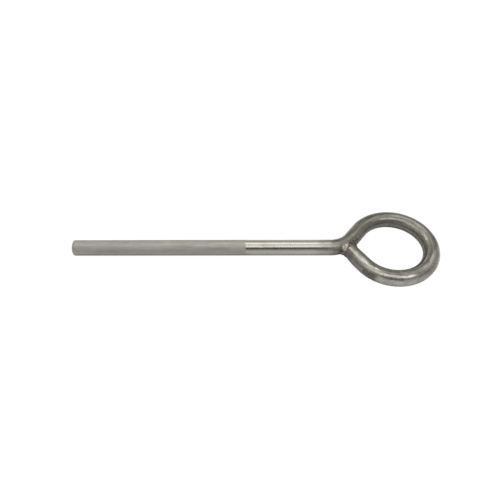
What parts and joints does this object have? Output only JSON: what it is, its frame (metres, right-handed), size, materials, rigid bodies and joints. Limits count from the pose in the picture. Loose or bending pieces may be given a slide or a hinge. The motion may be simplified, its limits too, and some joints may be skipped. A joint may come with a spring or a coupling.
{
  "type": "roof anchor",
  "caption": "Round steel bar with a straight shank and a closed eye bent and welded on its end, for tying, lifting or hanging from a roof or wall.",
  "frame": {"origin": "centre of the shank's cut tip face", "axes": "+X runs along the shank from the cut tip to the eye, +Z is square to the plane of the eye, and the neck turns out of line towards +Y"},
  "size_m": [0.37, 0.092, 0.0165],
  "materials": {
    "bar_steel": "matt on the bedded length, smooth drawn beyond it",
    "weld_steel": "as-laid weld metal with a heat tint"
  },
  "bodies": {
    "root": {"bent_bar": "bar_steel", "weld_crotch": "weld_steel", "weld_notch": "weld_steel", "weld_top": "weld_steel", "weld_underside": "weld_steel"}
  },
  "joints": []
}
